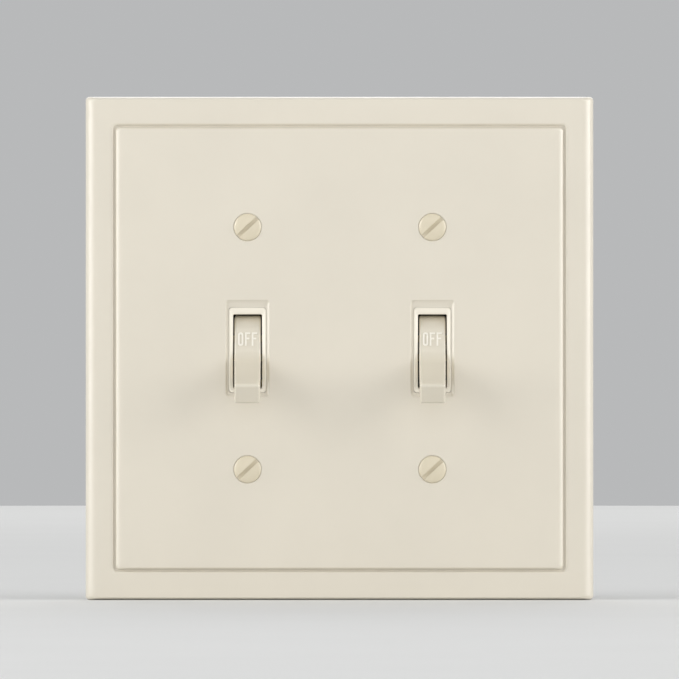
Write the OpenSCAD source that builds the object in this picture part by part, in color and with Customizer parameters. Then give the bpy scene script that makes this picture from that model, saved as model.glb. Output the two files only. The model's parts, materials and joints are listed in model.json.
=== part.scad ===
// Two single-pole toggle wall switches side by side behind one stamped steel wall plate.
// Frame: +Z up, +X to the viewer's right, the fronts face -Y.
// The origin is on the wall plane, midway between the two switches.
// The wall plane is y = 0: the plate's rim and the straps' back faces rest on it.

/* [Wall plate] */
// Width of the plate
plate_w = 126.6; // [112:0.2:154]
// Height of the plate
plate_h = 125.4; // [116:0.2:154]
// Height of the raised panel's face above the wall
plate_depth = 6; // [5.5:0.1:7.4]
// Thickness of the sheet
plate_wall = 1; // [0.7:0.05:1.2]
// Radius of the plate's corners, seen from the front
plate_corner_r = 1; // [0.5:0.1:4]
// Radius of the rounded edge between the border and the sides
plate_edge_r = 2.5; // [1.5:0.1:3]
// Height of the raised panel's face above the border
panel_rise = 0.4; // [0.1:0.1:0.6]
// Distance from the plate's edge to the middle of the groove
groove_inset = 7.3; // [5:0.1:9]
// Width of the groove at its floor
groove_w = 0.8; // [0.5:0.1:1.2]
// Depth of the groove below the border
groove_depth = 0.5; // [0.2:0.05:0.55]
// Width of the opening for one toggle
opening_w = 10.4; // [10.2:0.1:12]
// Height of the opening for one toggle
opening_h = 23.6; // [22.4:0.1:26]
// Radius of the opening's corners
opening_r = 0.8; // [0.4:0.1:1.5]

/* [Standard spacings] */
// Distance between the two switches' centres
gang_spacing = 46.04; // [46.04:0.5:60]
// Distance between a switch's two plate screws
plate_screw_spacing = 60.33; // [58:0.01:66]
// Distance between a switch's two mounting screws
box_screw_spacing = 83.3; // [80:0.1:90]

/* [Screws] */
// Radius of the plate and mounting screws' threads
screw_r = 1.753; // [1.5:0.01:2]
// Radius of a plate screw's oval head
oval_head_r = 3.5; // [3:0.05:4]
// Height of an oval head's dome above the plate
oval_dome = 0.9; // [0.5:0.05:1.2]
// Half of the angle at the point of an oval head's cone
oval_cone_half = 41; // [40:1:50]
// Width of the slot in an oval head
oval_slot_w = 1.2; // [0.8:0.05:1.4]
// Turn of the slots from level
oval_slot_turn = 43; // [0:1:90]
// Reach of a plate screw behind the wall plane
plate_screw_reach = 7; // [3:0.5:12]
// Reach of a mounting screw behind the wall plane
box_screw_reach = 19; // [12:0.5:30]
// Radius of a mounting screw's round head
box_head_r = 3.6; // [3:0.1:4.5]
// Radius of a terminal screw's thread
terminal_screw_r = 1.9; // [1.6:0.05:2.2]
// Radius of a terminal screw's head
terminal_head_r = 3.8; // [3.2:0.1:4.4]

/* [Strap] */
// Length of the mounting strap
strap_len = 106.4; // [100:0.2:112]
// Width across the strap's plaster ears
strap_ear_w = 33; // [28:0.5:38]
// Height of a plaster ear
strap_ear_h = 12; // [9:0.5:12.5]
// Width of the strap's narrow ends
strap_end_w = 19; // [15:0.5:22]
// Width of the strap where it covers the housing
strap_mid_w = 26; // [20:0.5:28]
// Thickness of the strap
strap_t = 1.2; // [0.8:0.1:1.6]

/* [Housing] */
// Width of the back housing and its cover
housing_w = 30; // [30:0.5:36]
// Height of the back housing and its cover
housing_h = 50; // [46:0.5:52]
// Thickness of the cover's flange
cover_t = 1.5; // [1.2:0.1:1.6]
// Thickness of the housing's rear wall
rear_wall = 4; // [2:0.5:8]
// Radius of the rivets that hold a switch together
rivet_r = 1.25; // [1:0.05:1.5]
// Distance between a switch's two rivets
rivet_spacing = 41; // [39:0.5:42]

/* [Toggle] */
// Width of the toggle lever
lever_w = 6.5; // [5.4:0.1:6.8]
// Distance from the lever's pivot to its end
lever_len = 25.2; // [22:0.2:30]
// Thickness of the lever's end
lever_tip_t = 5.4; // [4.6:0.1:6]
// Thickness of the lever where it leaves the drum
lever_neck_t = 4.4; // [3.6:0.1:5]
// Radius of the lever's drum
drum_r = 9.1; // [8.4:0.1:9.3]
// Half of the angle that the drum covers
drum_half = 88; // [80:1:90]
// Full throw of the lever, in degrees
throw = 54; // [48:1:54]
// Depth of the lever's pivot behind the wall plane
pivot_depth = 3.5; // [3:0.1:3.6]
// Radius of the lever's trunnions
trunnion_r = 1.5; // [1.2:0.05:1.8]
// Width of the collar's rim
collar_w = 9.3; // [8.9:0.1:9.5]
// Height of the collar's rim
collar_h = 21.4; // [20.6:0.1:22]
// Distance from the plate's face down to the collar's rim
collar_drop = 0.2; // [0:0.05:1]
// Gap between the lever and each side of its slot
lever_gap = 0.35; // [0.2:0.05:0.45]
// Gap between the drum and each end of its slot
drum_gap = 0.2; // [0.15:0.05:0.4]

/* [Mechanism] */
// Full swing of the rocker blade, in degrees
rocker_swing = 16; // [14:1:16]
// Depth of the rocker's pivot behind the lever's pivot
rocker_back = 11.7; // [11.4:0.1:12]
// Distance from the lever's pivot to the centre of the plunger's round tip
tip_reach = 7.3; // [7:0.05:7.5]
// Length of the straight end of a rocker's arm
arm_end = 3.4; // [3:0.1:3.6]
// Thickness of the rocker blade
blade_t = 0.8; // [0.5:0.1:0.9]
// Radius of the rocker's pin
pin_r = 1; // [0.7:0.05:1.2]
// Radius of the plunger's round tip
plunger_tip_r = 1.2; // [0.9:0.05:1.3]
// Radius of the plunger's body
plunger_r = 1.4; // [1.15:0.05:1.5]
// Thickness of the wire of the plunger's spring
spring_wire = 0.36; // [0.2:0.02:0.45]
// Turns of the plunger's spring
spring_turns = 5; // [4:1:7]
// Radius of the silver contacts
contact_r = 1.5; // [1:0.1:1.6]
// Height of the silver contacts
contact_t = 0.9; // [0.6:0.05:1]
// Thickness of the brass terminals
terminal_t = 1.1; // [0.8:0.1:1.2]

/* [Fits] */
// Clearance around a part that turns or slides in a hole
running_gap = 0.05; // [0.03:0.01:0.09]
// Clearance around a screw in a thread and a head in its seat
seat_gap = 0.03; // [0.02:0.01:0.05]
// Clearance around a part that passes through a hole or window
window_gap = 0.2; // [0.1:0.05:0.3]

/* [Hidden] */
$fn = 64;
SIDES = ["left", "right"];
SWITCH_PARTS = [
    "mounting_strap", "front_cover", "back_housing", "toggle_lever", "plunger",
    "plunger_spring", "rocker_blade", "rocker_pin", "moving_contact", "fixed_contact",
    "common_terminal", "load_terminal", "terminal_screws", "ground_screw",
    "mounting_screws", "screw_retainers", "rivets",
];

cut = 1; // how far a cutter reaches past the face that it cuts
half_throw = throw / 2;
half_swing = rocker_swing / 2;
ENDS = [-1, 1];

// Plate
border_depth = plate_depth - panel_rise;
groove_floor = border_depth - groove_depth;
dimple_wall = 0.9;
panel_w = plate_w - 2 * groove_inset - groove_w;
panel_h = plate_h - 2 * groove_inset - groove_w;
panel_r = plate_depth - groove_floor;
inner_edge_r = plate_edge_r - plate_wall;
opening_bevel = 0.4;

// Oval head, measured from the screw's axis and the plate's face
oval_seat_r = screw_r + window_gap;
oval_cone_h = (oval_head_r - screw_r) / tan(oval_cone_half);
seat_cone_h = (oval_head_r - oval_seat_r) / tan(oval_cone_half);
oval_dome_r = (oval_head_r * oval_head_r + oval_dome * oval_dome) / (2 * oval_dome);
oval_slot_depth = 1.1;

// Mounting screws and their washers
box_head_t = 2.4;
screw_neck_r = screw_r - 0.4;
retainer_w = 8;
retainer_t = 0.6;
thread_start = retainer_t + seat_gap;

// Rivets
rivet_head_r = 2.1;
rivet_head_t = 0.7;

// Strap
window_w = collar_w + 2 * window_gap;
window_h = collar_h + 2 * window_gap;
ear_z = box_screw_spacing / 2 + 1;
ear_r = 2;
ear_notch_r = 0.8;
box_slot_len = 6.6;
box_slot_w = 2 * (screw_r + window_gap);
ground_tab_h = 8;
ground_tab_depth = 9;
ground_tab_gap = 1;
ground_tab_z = -(ear_z - strap_ear_h / 2 - ground_tab_gap - ground_tab_h / 2);

// Housing and cover
housing_r = 2;
slot_w = lever_w + 2 * lever_gap;
slot_h = 2 * (drum_r + drum_gap);
collar_r = 1.1;
cheek_t = 2.4;
trunnion_len = cheek_t - window_gap;
cheek_h = 7;
snap_share = 0.8;
cavity_w = 19;
cavity_h = 32;
rocker_room = 3.8;
floor_y = pivot_depth + rocker_back + rocker_room;
housing_rear = floor_y + rear_wall;
lightening_depth = 1.4;
lightening_inset = 5;

// Lever, in its own frame: its pivot is at the origin and it points along -Y
stem_r = 2.3;
stem_len = 6.1;
hub_r = 2.8;
lever_edge_r = 0.5;
bore_r = plunger_r + running_gap;
bore_front = 2.2;

// Rocker, in its own frame: its pivot is at the origin and its arms face -Y
rocker_y = pivot_depth + rocker_back;
blade_w = 6.4;
rocker_ear_t = 0.8;
rocker_ear_wall = 1.2;
rocker_ear_r = pin_r + rocker_ear_wall;
cradle_steps = 6;
tip_clear = plunger_tip_r + seat_gap;
cradle_front_y = cradle_point(0, tip_clear)[0];
bend = cradle_point(half_throw, tip_clear);
arm_out = [-sin(half_swing), cos(half_swing)];
arm_rear = [cos(half_swing), sin(half_swing)];
plunger_back = 2.9;

// Contacts: where the straight end of the lower arm lies when the switch is on
closed_bend = turn(mirrored(bend), half_swing);
contact_z = closed_bend[1] - arm_end / 2;
blade_rear_y = rocker_y + closed_bend[0] + blade_t;
closed_gap = 0.02;
fixed_face_y = blade_rear_y + contact_t + closed_gap;
pad_y = fixed_face_y + contact_t;
contact_shank_r = 0.7;
contact_tail = 0.3;

// Terminals
plate_y = floor_y - terminal_t;
bracket_gap = 0.3;
bracket_t = 0.8;
bracket_x = blade_w / 2 + bracket_gap;
pin_end = 0.5;
pin_len = 2 * (bracket_x + bracket_t + pin_end);
terminal_wall = 2.3;
tab_x = cavity_w / 2 + terminal_wall;
tab_h = 10;
tab_mid_z = 13;
tab_depth = 11.5;
tab_front_y = floor_y - tab_depth;
tab_screw_inset = 6.5;
tab_screw_y = floor_y - tab_screw_inset;
leg_h = 4;
leg_x = 5.5;
leg_mid_h = 6.4;
recess_gap = 0.5;
wire_gap = 1.6;
terminal_head_t = 2.2;
pad_h = 4.9;
pad_w = 5.2;

// Position of a point after a turn about +X, as [y, z]
function turn(p, angle) =
    [p[0] * cos(angle) - p[1] * sin(angle), p[0] * sin(angle) + p[1] * cos(angle)];

// The same point below the rocker's middle plane, as [y, z]
function mirrored(p) = [p[0], -p[1]];

// Centre of the plunger's tip in the rocker's frame when the lever is tilted by angle
function tip_at(angle) =
    turn(
        [tip_reach * cos(angle) - rocker_back, tip_reach * sin(angle)],
        angle * rocker_swing / throw
    );

// A point of the rocker's cradle: the tip's path moved back by offset, square to the path
function cradle_point(angle, offset) =
    let (along = tip_at(angle + 1) - tip_at(angle - 1))
    tip_at(angle) + offset * [along[1], -along[0]] / norm(along);

// Points of a spring's wire along a helix about +Y, from y0 to y1
function helix(r, y0, y1, turns, steps) =
    [for (i = [0 : steps])
        [r * cos(360 * turns * i / steps), y0 + (y1 - y0) * i / steps, r * sin(360 * turns * i / steps)]];

// ---------- helpers ----------

// Extrudes a shape drawn in X and Z from y0 back to y1
module slab(y0, y1) {
    translate([0, y1, 0])
        rotate([90, 0, 0])
            linear_extrude(y1 - y0)
                children();
}

// Extrudes a shape drawn in Y and Z from x0 to x1
module across(x0, x1) {
    translate([x0, 0, 0])
        rotate([90, 0, 90])
            linear_extrude(x1 - x0)
                children();
}

// A rectangle about the origin with round corners
module round_rect(w, h, r) {
    square([w - 2 * r, h], center = true);
    square([w, h - 2 * r], center = true);
    for (x = ENDS)
        for (z = ENDS)
            translate([x * (w / 2 - r), z * (h / 2 - r)])
                circle(r);
}

// A cylinder along Y
module rod_y(r, y0, y1) {
    translate([0, y0, 0])
        rotate([-90, 0, 0])
            cylinder(r = r, h = y1 - y0);
}

// A cone along Y with radius r0 at y0 and r1 at y1
module cone_y(r0, r1, y0, y1) {
    translate([0, y0, 0])
        rotate([-90, 0, 0])
            cylinder(r1 = r0, r2 = r1, h = y1 - y0);
}

// A cylinder along X
module rod_x(r, x0, x1) {
    translate([x0, 0, 0])
        rotate([0, 90, 0])
            cylinder(r = r, h = x1 - x0);
}

// Section of a shallow tray with round front edges, as [across, -depth]
module tray_section(width, depth, r) {
    translate([-width / 2, -(depth - r)])
        square([width, depth - r]);
    translate([-width / 2 + r, -depth])
        square([width - 2 * r, depth]);
    for (x = ENDS)
        translate([x * (width / 2 - r), -(depth - r)])
            circle(r);
}

// A tray lying on the wall plane: the same round edge on all four sides
module tray(w, h, depth, edge_r, corner_r) {
    intersection() {
        translate([0, 0, -h / 2])
            linear_extrude(h)
                tray_section(w, depth, edge_r);
        across(-w / 2, w / 2)
            rotate(-90)
                tray_section(h, depth, edge_r);
        slab(-depth, 0)
            round_rect(w, h, corner_r);
    }
}

// Repeats its children at the two switches' centres
module each_gang() {
    for (side = ENDS)
        translate([side * gang_spacing / 2, 0, 0])
            children();
}

// Repeats its children at +z and -z
module each_end(z) {
    for (end = ENDS)
        translate([0, 0, end * z])
            children();
}

// Turns its children with the lever, as it stands when the switch is off
module with_lever() {
    translate([0, pivot_depth, 0])
        rotate([half_throw, 0, 0])
            children();
}

// Turns its children with the rocker, as it stands when the switch is off
module with_rocker() {
    translate([0, rocker_y, 0])
        rotate([-half_swing, 0, 0])
            children();
}

// Places its children on the front of the lower arm's straight end, square to it
module at_moving_contact() {
    middle = mirrored(bend + arm_end / 2 * arm_out);
    translate([0, middle[0], middle[1]])
        rotate([-half_swing, 0, 0])
            children();
}

// ---------- plate and its screws ----------

module wall_plate() {
    color("#e2dbcb")
        difference() {
            union() {
                difference() {
                    tray(plate_w, plate_h, border_depth, plate_edge_r, plate_corner_r);
                    slab(-plate_depth, -groove_floor)
                        round_rect(panel_w + 2 * groove_w, panel_h + 2 * groove_w, plate_corner_r);
                }
                tray(panel_w, panel_h, plate_depth, panel_r, plate_corner_r);
            }
            difference() {
                union() {
                    plate_hollow(plate_w, plate_h, border_depth, inner_edge_r);
                    plate_hollow(panel_w, panel_h, plate_depth, inner_edge_r);
                }
                each_gang()
                    each_end(plate_screw_spacing / 2)
                        screw_dimple();
            }
            each_gang()
                toggle_opening();
            each_gang()
                each_end(plate_screw_spacing / 2)
                    screw_seat();
        }
}

// Hollow under a tray of the given size, one sheet thickness inside it
module plate_hollow(w, h, depth, r) {
    tray(w - 2 * plate_wall, h - 2 * plate_wall, depth - plate_wall, r, plate_corner_r);
    slab(-cut, cut)
        round_rect(w - 2 * plate_wall, h - 2 * plate_wall, plate_corner_r);
}

// Opening for one toggle, with a bevel at the face
module toggle_opening() {
    slab(-plate_depth - cut, cut)
        round_rect(opening_w, opening_h, opening_r);
    intersection() {
        translate([0, 0, -opening_h])
            linear_extrude(2 * opening_h)
                bevel_section(opening_w);
        across(-opening_w, opening_w)
            rotate(-90)
                bevel_section(opening_h);
    }
}

// Section of the bevel around an opening, as [across, -height]
module bevel_section(width) {
    polygon([
        [-width / 2, -plate_depth + opening_bevel],
        [-width / 2 - 2 * opening_bevel, -plate_depth - opening_bevel],
        [width / 2 + 2 * opening_bevel, -plate_depth - opening_bevel],
        [width / 2, -plate_depth + opening_bevel],
    ]);
}

// Sheet pressed back around a screw's seat
module screw_dimple() {
    cone_y(
        oval_head_r + dimple_wall, oval_seat_r + dimple_wall,
        -plate_depth + plate_wall / 2, -plate_depth + plate_wall / 2 + seat_cone_h
    );
}

// Countersunk seat for an oval head
module screw_seat() {
    cone_y(oval_head_r, oval_seat_r, -plate_depth, -plate_depth + seat_cone_h);
    rod_y(oval_head_r, -plate_depth - cut, -plate_depth);
    rod_y(oval_seat_r, -plate_depth, cut);
}

module plate_screws() {
    color("#e6dfbf")
        each_gang()
            each_end(plate_screw_spacing / 2)
                oval_screw();
}

// A slotted oval-head screw whose cone sits in the plate's seat
module oval_screw() {
    head_r = oval_head_r - seat_gap;
    difference() {
        union() {
            intersection() {
                translate([0, -plate_depth - oval_dome + oval_dome_r, 0])
                    sphere(oval_dome_r);
                rod_y(head_r, -plate_depth - oval_dome, -plate_depth);
            }
            cone_y(head_r, screw_r, -plate_depth, -plate_depth + oval_cone_h);
            rod_y(screw_r, -plate_depth, plate_screw_reach - screw_r);
            cone_y(screw_r, screw_r / 2, plate_screw_reach - screw_r, plate_screw_reach);
        }
        translate([0, -plate_depth - oval_dome - cut + (oval_slot_depth + cut) / 2, 0])
            rotate([0, -oval_slot_turn, 0])
                cube([4 * oval_head_r, oval_slot_depth + cut, oval_slot_w], center = true);
    }
}

// ---------- strap and what is fixed to it ----------

module mounting_strap() {
    color("#c9cbcd") {
        difference() {
            slab(-strap_t, 0)
                strap_outline();
            each_end(box_screw_spacing / 2)
                slab(-strap_t - cut, cut)
                    round_rect(box_slot_len, box_slot_w, box_slot_w / 2 - seat_gap);
            each_end(plate_screw_spacing / 2)
                rod_y(screw_r + seat_gap, -strap_t - cut, cut);
            each_end(rivet_spacing / 2)
                rod_y(rivet_r + seat_gap, -strap_t - cut, cut);
            slab(-strap_t - cut, cut)
                round_rect(window_w, window_h, collar_r + window_gap);
        }
        ground_tab();
    }
}

module strap_outline() {
    difference() {
        union() {
            round_rect(strap_end_w, strap_len, ear_r);
            round_rect(strap_mid_w, housing_h, ear_r);
            for (end = ENDS)
                translate([0, end * ear_z])
                    round_rect(strap_ear_w, strap_ear_h, ear_r);
        }
        for (x = ENDS)
            for (end = ENDS)
                for (side = ENDS)
                    translate([x * strap_end_w / 2, end * ear_z + side * strap_ear_h / 4])
                        circle(ear_notch_r);
    }
}

// Tab folded back from the strap's edge, tapped for the ground screw
module ground_tab() {
    difference() {
        translate([strap_end_w / 2 - strap_t, -strap_t, ground_tab_z - ground_tab_h / 2])
            cube([strap_t, strap_t + ground_tab_depth, ground_tab_h]);
        translate([0, ground_tab_depth / 2, ground_tab_z])
            rod_x(terminal_screw_r + seat_gap, 0, strap_end_w);
    }
}

module ground_screw() {
    color("#4f8a5a")
        translate([strap_end_w / 2, ground_tab_depth / 2, ground_tab_z])
            side_screw(2 * terminal_screw_r);
}

// A binding-head screw along X with its seat face wire_gap outside x = 0
module side_screw(reach) {
    difference() {
        union() {
            rod_x(terminal_screw_r, -reach, wire_gap);
            rod_x(terminal_head_r, wire_gap, wire_gap + terminal_head_t);
        }
        translate([wire_gap + terminal_head_t, 0, 0])
            cube([terminal_head_t, 2 * terminal_head_r + cut, terminal_screw_r / 2], center = true);
    }
}

module mounting_screws() {
    color("#b8bbbe")
        each_end(box_screw_spacing / 2)
            difference() {
                union() {
                    intersection() {
                        translate([0, -strap_t, 0])
                            sphere(box_head_r);
                        rod_y(box_head_r, -strap_t - box_head_t, -strap_t);
                    }
                    rod_y(screw_neck_r, -strap_t - box_head_t / 2, thread_start + cut);
                    rod_y(screw_r, thread_start, box_screw_reach);
                }
                translate([0, -strap_t - box_head_r, 0])
                    cube([3 * box_head_r, box_head_r, oval_slot_w], center = true);
            }
}

// Small square washers that keep the mounting screws in the strap
module screw_retainers() {
    color("#7d6a52")
        each_end(box_screw_spacing / 2)
            difference() {
                slab(0, retainer_t)
                    square(retainer_w, center = true);
                rod_y(screw_neck_r + seat_gap, -cut, retainer_t + cut);
            }
}

module rivets() {
    face_r = rivet_head_r - rivet_head_t / 2;
    color("#c2c5c8")
        each_end(rivet_spacing / 2) {
            rod_y(rivet_r, -strap_t, housing_rear);
            cone_y(face_r, rivet_head_r, -strap_t - rivet_head_t, -strap_t);
            cone_y(rivet_head_r, face_r, housing_rear, housing_rear + rivet_head_t);
        }
}

// ---------- cover and housing ----------

module front_cover() {
    color("#dcd5c4")
        difference() {
            union() {
                slab(0, cover_t)
                    round_rect(housing_w, housing_h, housing_r);
                slab(-plate_depth + collar_drop, cover_t)
                    round_rect(collar_w, collar_h, collar_r);
                for (x = ENDS)
                    translate([x * (slot_w / 2 + cheek_t / 2), 0, 0])
                        cheek();
            }
            slab(-plate_depth - cut, cover_t + cut)
                square([slot_w, slot_h], center = true);
            each_end(rivet_spacing / 2)
                rod_y(rivet_r + seat_gap, -cut, cover_t + cut);
            translate([0, pivot_depth, 0])
                rod_x(trunnion_r + running_gap, -slot_w / 2 - cheek_t, slot_w / 2 + cheek_t);
            across(-slot_w / 2 - cheek_t - cut, slot_w / 2 + cheek_t + cut)
                translate([pivot_depth, -snap_share * trunnion_r])
                    square([2 * cheek_h, 2 * snap_share * trunnion_r]);
        }
}

// Ear behind the flange that holds one trunnion
module cheek() {
    across(-cheek_t / 2, cheek_t / 2) {
        translate([cover_t / 2, -cheek_h / 2])
            square([pivot_depth - cover_t / 2 + trunnion_r, cheek_h]);
    }
}

module back_housing() {
    color("#4a4744")
        difference() {
            slab(cover_t, housing_rear)
                round_rect(housing_w, housing_h, housing_r);
            difference() {
                slab(cover_t - cut, floor_y)
                    square([cavity_w, cavity_h], center = true);
                off_stop();
            }
            for (end = ENDS)
                terminal_recess(end);
            each_end(rivet_spacing / 2)
                rod_y(rivet_r + seat_gap, cover_t - cut, housing_rear + cut);
            slab(housing_rear - lightening_depth, housing_rear + cut)
                round_rect(housing_w - 2 * lightening_inset, cavity_h - 2 * housing_r, housing_r);
        }
}

// Post that the rocker's upper arm rests on when the switch is off
module off_stop() {
    translate([-blade_w / 4, blade_rear_y + running_gap, -contact_z - contact_r / 2])
        cube([blade_w / 2, floor_y, contact_r]);
}

// Recess in the housing's side for one terminal's tab, its screw and its leg
module terminal_recess(end) {
    low_z = end * tab_mid_z - tab_h / 2 - recess_gap;
    translate([tab_x, tab_front_y - recess_gap, low_z])
        cube([housing_w, floor_y - tab_front_y + recess_gap, tab_h + 2 * recess_gap]);
    translate([cavity_w / 2 - cut, plate_y - window_gap, end * (tab_mid_z - tab_h / 2 + leg_h / 2)])
        translate([0, 0, -leg_h / 2 - window_gap])
            cube([terminal_wall + 2 * cut, terminal_t + window_gap, leg_h + 2 * window_gap]);
    translate([0, tab_screw_y, end * tab_mid_z])
        rod_x(terminal_screw_r + window_gap, cavity_w / 2 - cut, housing_w);
}

// ---------- lever and plunger ----------

module toggle_lever() {
    color("#d9d2c0")
        with_lever()
            difference() {
                union() {
                    across(-lever_w / 2, lever_w / 2) {
                        drum_section();
                        handle_section();
                        circle(hub_r);
                    }
                    rod_x(trunnion_r, -slot_w / 2 - trunnion_len, slot_w / 2 + trunnion_len);
                    rod_y(stem_r, 0, stem_len);
                }
                rod_y(bore_r, -bore_front, stem_len + cut);
            }
}

// The drum's section, as [y, z]: a sector with its middle along -Y
module drum_section() {
    intersection() {
        circle(drum_r);
        polygon([
            [0, 0],
            2 * drum_r * [-cos(drum_half), sin(drum_half)],
            [-2 * drum_r, 2 * drum_r],
            [-2 * drum_r, -2 * drum_r],
            2 * drum_r * [-cos(drum_half), -sin(drum_half)],
        ]);
    }
}

// The handle's section, as [y, z]: it widens towards an end with round edges
module handle_section() {
    flare_y = -lever_len + lever_tip_t / 2;
    polygon([
        [0, -lever_neck_t / 2],
        [flare_y, -lever_tip_t / 2],
        [-lever_len + lever_edge_r, -lever_tip_t / 2],
        [-lever_len, -lever_tip_t / 2 + lever_edge_r],
        [-lever_len, lever_tip_t / 2 - lever_edge_r],
        [-lever_len + lever_edge_r, lever_tip_t / 2],
        [flare_y, lever_tip_t / 2],
        [0, lever_neck_t / 2],
    ]);
    for (z = ENDS)
        translate([-lever_len + lever_edge_r, z * (lever_tip_t / 2 - lever_edge_r)])
            circle(lever_edge_r);
}

module plunger() {
    color("#e8e4da")
        with_lever() {
            rod_y(plunger_r, plunger_back, stem_len);
            rod_y(plunger_tip_r, stem_len, tip_reach);
            translate([0, tip_reach, 0])
                sphere(plunger_tip_r);
        }
}

module plunger_spring() {
    coil_r = plunger_r - spring_wire / 2 - running_gap;
    steps = 12 * spring_turns;
    low_y = -bore_front + spring_wire / 2 + seat_gap;
    high_y = plunger_back - spring_wire / 2 - seat_gap;
    color("#9a9da0")
        with_lever()
            wire(helix(coil_r, low_y, high_y, spring_turns, steps), spring_wire / 2);
}

// A closed six-sided tube of radius r along a helix about +Y
module wire(path, r) {
    sides = 6;
    last = len(path) - 1;
    points = [
        for (p = path)
            let (out = [p[0], 0, p[2]] / norm([p[0], 0, p[2]]))
            for (k = [0 : sides - 1])
                p + r * (cos(360 * k / sides) * out + sin(360 * k / sides) * [0, 1, 0])
    ];
    sides_faces = [
        for (i = [0 : last - 1])
            for (k = [0 : sides - 1])
                let (next = (k + 1) % sides)
                [i * sides + k, i * sides + next, (i + 1) * sides + next, (i + 1) * sides + k]
    ];
    low_cap = [[for (k = [sides - 1 : -1 : 0]) k]];
    high_cap = [[for (k = [0 : sides - 1]) last * sides + k]];
    polyhedron(points, concat(sides_faces, low_cap, high_cap));
}

// ---------- rocker, contacts and terminals ----------

module rocker_blade() {
    color("#c9a24b")
        with_rocker()
            difference() {
                union() {
                    across(-blade_w / 2, blade_w / 2)
                        blade_section();
                    for (x = ENDS)
                        translate([x * (blade_w / 2 - rocker_ear_t / 2), 0, 0])
                            rocker_ear();
                }
                rod_x(pin_r + running_gap, -blade_w, blade_w);
                at_moving_contact()
                    rod_y(contact_shank_r, -cut, blade_t + cut);
            }
}

// The blade's section, as [y, z]: a cradle that the plunger's tip follows, and two straight ends
module blade_section() {
    front = [
        for (i = [-cradle_steps : cradle_steps])
            cradle_point(half_throw * i / cradle_steps, tip_clear)
    ];
    rear = [
        for (i = [cradle_steps - 1 : -1 : 1 - cradle_steps])
            cradle_point(half_throw * i / cradle_steps, tip_clear + blade_t)
    ];
    arm = [
        bend + arm_end * arm_out,
        bend + arm_end * arm_out + blade_t * arm_rear,
        bend + blade_t * arm_rear,
    ];
    polygon(concat(
        [mirrored(arm[0])], front, arm, rear, [mirrored(arm[2]), mirrored(arm[1])]
    ));
}

// One of the two ears that ride on the pin
module rocker_ear() {
    across(-rocker_ear_t / 2, rocker_ear_t / 2) {
        circle(rocker_ear_r);
        polygon([
            [0, -rocker_ear_r],
            [cradle_front_y + blade_t / 2, -blade_t],
            [cradle_front_y + blade_t / 2, blade_t],
            [0, rocker_ear_r],
        ]);
    }
}

module rocker_pin() {
    color("#a9acb0")
        translate([0, rocker_y, 0])
            rod_x(pin_r, -pin_len / 2, pin_len / 2);
}

module moving_contact() {
    color("#d8dadc")
        with_rocker()
            at_moving_contact()
                contact_rivet(blade_t);
}

// A contact rivet through a sheet whose front face is at y = 0, with its head behind
module contact_rivet(sheet_t) {
    rod_y(contact_shank_r - seat_gap, -contact_tail, sheet_t);
    rod_y(contact_r, sheet_t, sheet_t + contact_t);
}

module fixed_contact() {
    color("#d8dadc")
        translate([0, pad_y, contact_z]) {
            rod_y(contact_r, -contact_t, 0);
            rod_y(contact_shank_r - seat_gap, 0, terminal_t + contact_tail);
        }
}

module common_terminal() {
    color("#cfa850") {
        slab(plate_y, floor_y)
            common_outline();
        terminal_tab(1);
        for (x = ENDS)
            translate([x * (bracket_x + bracket_t / 2), 0, 0])
                pin_bracket();
    }
}

// Outline of the common terminal's base, as [x, z]
module common_outline() {
    foot_w = bracket_x + bracket_t;
    low_z = tab_mid_z - tab_h / 2;
    polygon([
        [-foot_w, -leg_mid_h / 2],
        [cavity_w / 2 - window_gap, -leg_mid_h / 2],
        [cavity_w / 2 - window_gap, low_z],
        [tab_x + terminal_t, low_z],
        [tab_x + terminal_t, low_z + leg_h],
        [leg_x, low_z + leg_h],
        [leg_x, leg_mid_h / 2],
        [-foot_w, leg_mid_h / 2],
    ]);
}

// One ear that holds the rocker's pin
module pin_bracket() {
    across(-bracket_t / 2, bracket_t / 2)
        difference() {
            union() {
                translate([rocker_y, 0])
                    circle(rocker_ear_r);
                translate([rocker_y, -rocker_ear_r])
                    square([plate_y - rocker_y + terminal_t / 2, 2 * rocker_ear_r]);
            }
            translate([rocker_y, 0])
                circle(pin_r);
        }
}

// Tab on the housing's side, tapped for a terminal screw
module terminal_tab(end) {
    difference() {
        translate([tab_x, tab_front_y, end * tab_mid_z - tab_h / 2])
            cube([terminal_t, floor_y - tab_front_y, tab_h]);
        translate([0, tab_screw_y, end * tab_mid_z])
            rod_x(terminal_screw_r + seat_gap, 0, housing_w);
    }
}

module load_terminal() {
    high_z = -(tab_mid_z - tab_h / 2);
    pad_top = contact_z + pad_h / 2;
    color("#cfa850")
        difference() {
            union() {
                slab(plate_y, floor_y)
                    translate([-pad_w / 2, high_z - leg_h])
                        square([pad_w / 2 + tab_x + terminal_t, leg_h]);
                slab(pad_y, pad_y + terminal_t)
                    translate([-pad_w / 2, high_z - leg_h])
                        square([pad_w, pad_top - high_z + leg_h]);
                slab(pad_y, floor_y)
                    translate([-pad_w / 2, high_z - leg_h])
                        square([pad_w, terminal_t]);
                terminal_tab(-1);
            }
            translate([0, 0, contact_z])
                rod_y(contact_shank_r, pad_y - cut, pad_y + terminal_t + cut);
        }
}

module terminal_screws() {
    color("#c8a14a")
        for (end = ENDS)
            translate([tab_x + terminal_t, tab_screw_y, end * tab_mid_z])
                side_screw(terminal_t + terminal_wall + terminal_screw_r / 2);
}

// ---------- assembly ----------

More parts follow.
